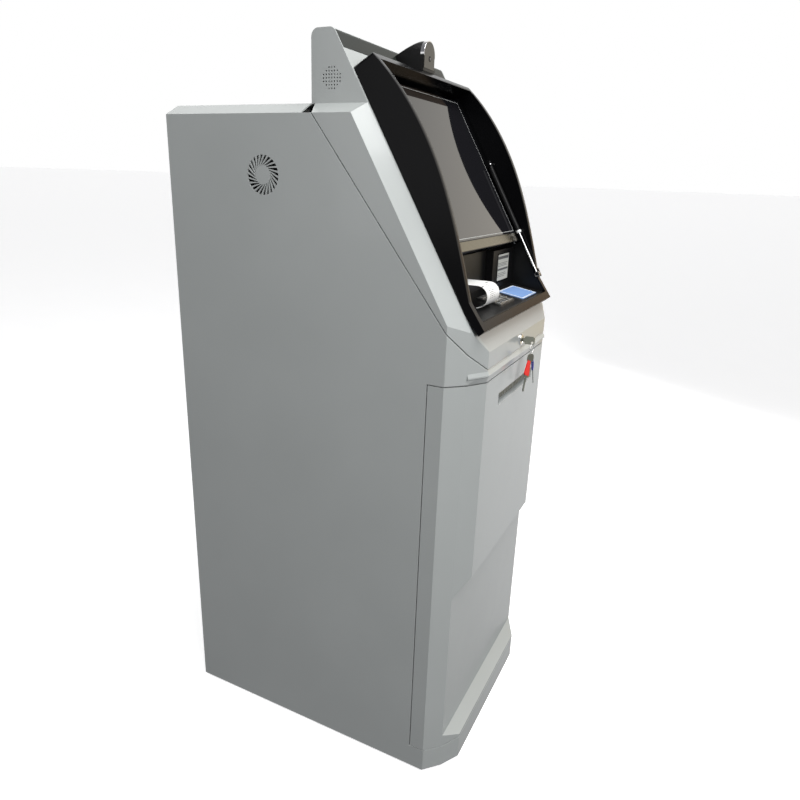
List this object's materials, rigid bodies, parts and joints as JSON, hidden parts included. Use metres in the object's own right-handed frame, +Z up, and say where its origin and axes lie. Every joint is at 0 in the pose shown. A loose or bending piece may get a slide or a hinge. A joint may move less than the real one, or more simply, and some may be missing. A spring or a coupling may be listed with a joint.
{
  "type": "atm machine",
  "caption": "Free-standing cash machine kiosk with hinged head, tilted black screen bezel, recess with keypad and pad, and faceted front door.",
  "frame": {"origin": "centre of the cabinet footprint on the floor", "axes": "+Z up, -Y towards the user, +X to the right of a person facing the machine"},
  "size_m": [0.608, 0.81, 1.703],
  "materials": {
    "white": "semi-gloss grey-white powder coat",
    "black": "gloss black",
    "black_matte": "fine textured black",
    "glass": "dark screen glass",
    "steel": "brushed",
    "chrome": "polished",
    "zinc": "zinc plated",
    "header_dark": "satin dark",
    "pad": "lit pad",
    "paper": "thermal paper",
    "reader": "pale plastic",
    "rubber": "matte",
    "safe_grey": "textured safe paint"
  },
  "bodies": {
    "cabinet": {"side_panel_left": "white", "side_panel_right": "white", "roof_panel": "white", "front_plinth": "white", "front_cross_rail": "white", "base_pan": "zinc", "levelling_feet": "rubber", "frame_posts": "zinc", "door_hinge_lower_leaves": "zinc", "rear_frame": "white", "power_inlet": "black_matte", "safe_body": "safe_grey", "control_computer": "black_matte", "fan_frame": "black_matte", "safe_door": "safe_grey", "note_cassette": "black_matte"},
    "front_door": {"front_door": "white", "outlet_chute": "white", "door_hinge_upper_leaves": "zinc"},
    "rear_door": {"rear_door": "white"},
    "fan_rotor": {"fan_rotor": "black_matte"},
    "head_lid": {"head_shell": "white", "header_box": "white", "header_strip": "header_dark", "screen_bezel": "black", "recess_tray": "black_matte", "scanner_module": "black_matte", "scanner_window": "reader", "signature_pad": "pad", "keypad_plate": "steel", "card_reader": "reader", "receipt_printer": "black_matte", "receipt_paper": "paper", "lock_barrel": "chrome", "camera_housing": "black_matte", "lid_hinge_leaves": "zinc"},
    "monitor": {"screen_glass": "glass", "monitor_frame": "black", "display_module": "black_matte"},
    "strut_rod": {"screen_strut_rod": "chrome"},
    "strut_tube": {"screen_strut_tube": "black_matte"},
    "lock_key": {"lock_key": "zinc"},
    "key_ring": {"key_ring": "chrome"},
    "paper_roll": {"paper_roll": "paper"},
    "key_01": {"keypad_key_01": "steel"},
    "key_02": {"keypad_key_02": "steel"},
    "key_03": {"keypad_key_03": "steel"},
    "key_04": {"keypad_key_04": "steel"},
    "key_05": {"keypad_key_05": "steel"},
    "key_06": {"keypad_key_06": "steel"},
    "key_07": {"keypad_key_07": "steel"},
    "key_08": {"keypad_key_08": "steel"},
    "key_09": {"keypad_key_09": "steel"},
    "key_10": {"keypad_key_10": "steel"},
    "key_11": {"keypad_key_11": "steel"},
    "key_12": {"keypad_key_12": "steel"},
    "key_13": {"keypad_key_13": "steel"},
    "key_14": {"keypad_key_14": "steel"},
    "key_15": {"keypad_key_15": "steel"},
    "key_16": {"keypad_key_16": "steel"}
  },
  "joints": [
    {"name": "front_door_hinge", "type": "hinge", "parent": "cabinet", "child": "front_door", "pos_m": [0.304, -0.284, 0.5], "axis": [0, 0, 1], "range_deg": [0, 110]},
    {"name": "rear_door_hinge", "type": "hinge", "parent": "cabinet", "child": "rear_door", "pos_m": [0.2635, 0.388, 0.8], "axis": [0, 0, -1], "range_deg": [0, 110]},
    {"name": "fan_spin", "type": "hinge", "parent": "cabinet", "child": "fan_rotor", "pos_m": [-0.285, 0.12, 1.406], "axis": [1, 0, 0], "continuous": true},
    {"name": "lid_hinge", "type": "hinge", "parent": "cabinet", "child": "head_lid", "pos_m": [0, 0.026, 1.553], "axis": [-1, 0, 0], "range_deg": [0, 50]},
    {"name": "monitor_hinge", "type": "hinge", "parent": "head_lid", "child": "monitor", "pos_m": [0, -0.08523, 1.59648], "axis": [-1, 0, 0], "range_deg": [0, 30]},
    {"name": "strut_rod_pivot", "type": "hinge", "parent": "head_lid", "child": "strut_rod", "pos_m": [0.229, -0.34922, 1.18424], "axis": [1, 0, 0], "range_deg": [-1, 15]},
    {"name": "strut_stroke", "type": "slide", "parent": "strut_rod", "child": "strut_tube", "axis": [0, 0.5, 0.866], "range_m": [-0.001, 0.047]},
    {"name": "key_turn", "type": "hinge", "parent": "head_lid", "child": "lock_key", "pos_m": [0.007, -0.384, 1.058], "axis": [0, 1, 0], "range_deg": [0, 90]},
    {"name": "ring_swing", "type": "hinge", "parent": "lock_key", "child": "key_ring", "pos_m": [0.007, -0.4125, 1.0535], "axis": [0, 1, 0], "range_deg": [-45, 0]},
    {"name": "roll_spin", "type": "hinge", "parent": "head_lid", "child": "paper_roll", "pos_m": [-0.1, -0.194, 1.191], "axis": [1, 0, 0], "continuous": true},
    {"name": "press_01", "type": "slide", "parent": "head_lid", "child": "key_01", "axis": [0, 0.1668, -0.986], "range_m": [0, 0.002], "stiffness_N_per_m": 300},
    {"name": "press_02", "type": "slide", "parent": "head_lid", "child": "key_02", "axis": [0, 0.1668, -0.986], "range_m": [0, 0.002], "stiffness_N_per_m": 300},
    {"name": "press_03", "type": "slide", "parent": "head_lid", "child": "key_03", "axis": [0, 0.1668, -0.986], "range_m": [0, 0.002], "stiffness_N_per_m": 300},
    {"name": "press_04", "type": "slide", "parent": "head_lid", "child": "key_04", "axis": [0, 0.1668, -0.986], "range_m": [0, 0.002], "stiffness_N_per_m": 300},
    {"name": "press_05", "type": "slide", "parent": "head_lid", "child": "key_05", "axis": [0, 0.1668, -0.986], "range_m": [0, 0.002], "stiffness_N_per_m": 300},
    {"name": "press_06", "type": "slide", "parent": "head_lid", "child": "key_06", "axis": [0, 0.1668, -0.986], "range_m": [0, 0.002], "stiffness_N_per_m": 300},
    {"name": "press_07", "type": "slide", "parent": "head_lid", "child": "key_07", "axis": [0, 0.1668, -0.986], "range_m": [0, 0.002], "stiffness_N_per_m": 300},
    {"name": "press_08", "type": "slide", "parent": "head_lid", "child": "key_08", "axis": [0, 0.1668, -0.986], "range_m": [0, 0.002], "stiffness_N_per_m": 300},
    {"name": "press_09", "type": "slide", "parent": "head_lid", "child": "key_09", "axis": [0, 0.1668, -0.986], "range_m": [0, 0.002], "stiffness_N_per_m": 300},
    {"name": "press_10", "type": "slide", "parent": "head_lid", "child": "key_10", "axis": [0, 0.1668, -0.986], "range_m": [0, 0.002], "stiffness_N_per_m": 300},
    {"name": "press_11", "type": "slide", "parent": "head_lid", "child": "key_11", "axis": [0, 0.1668, -0.986], "range_m": [0, 0.002], "stiffness_N_per_m": 300},
    {"name": "press_12", "type": "slide", "parent": "head_lid", "child": "key_12", "axis": [0, 0.1668, -0.986], "range_m": [0, 0.002], "stiffness_N_per_m": 300},
    {"name": "press_13", "type": "slide", "parent": "head_lid", "child": "key_13", "axis": [0, 0.1668, -0.986], "range_m": [0, 0.002], "stiffness_N_per_m": 300},
    {"name": "press_14", "type": "slide", "parent": "head_lid", "child": "key_14", "axis": [0, 0.1668, -0.986], "range_m": [0, 0.002], "stiffness_N_per_m": 300},
    {"name": "press_15", "type": "slide", "parent": "head_lid", "child": "key_15", "axis": [0, 0.1668, -0.986], "range_m": [0, 0.002], "stiffness_N_per_m": 300},
    {"name": "press_16", "type": "slide", "parent": "head_lid", "child": "key_16", "axis": [0, 0.1668, -0.986], "range_m": [0, 0.002], "stiffness_N_per_m": 300}
  ],
  "couplings": [
    {"joint": "strut_rod_pivot", "follows": "monitor_hinge", "ratio": 0.461},
    {"joint": "strut_stroke", "follows": "monitor_hinge", "m_per_rad": 0.0867},
    {"joint": "ring_swing", "follows": "key_turn", "ratio": -0.5}
  ]
}
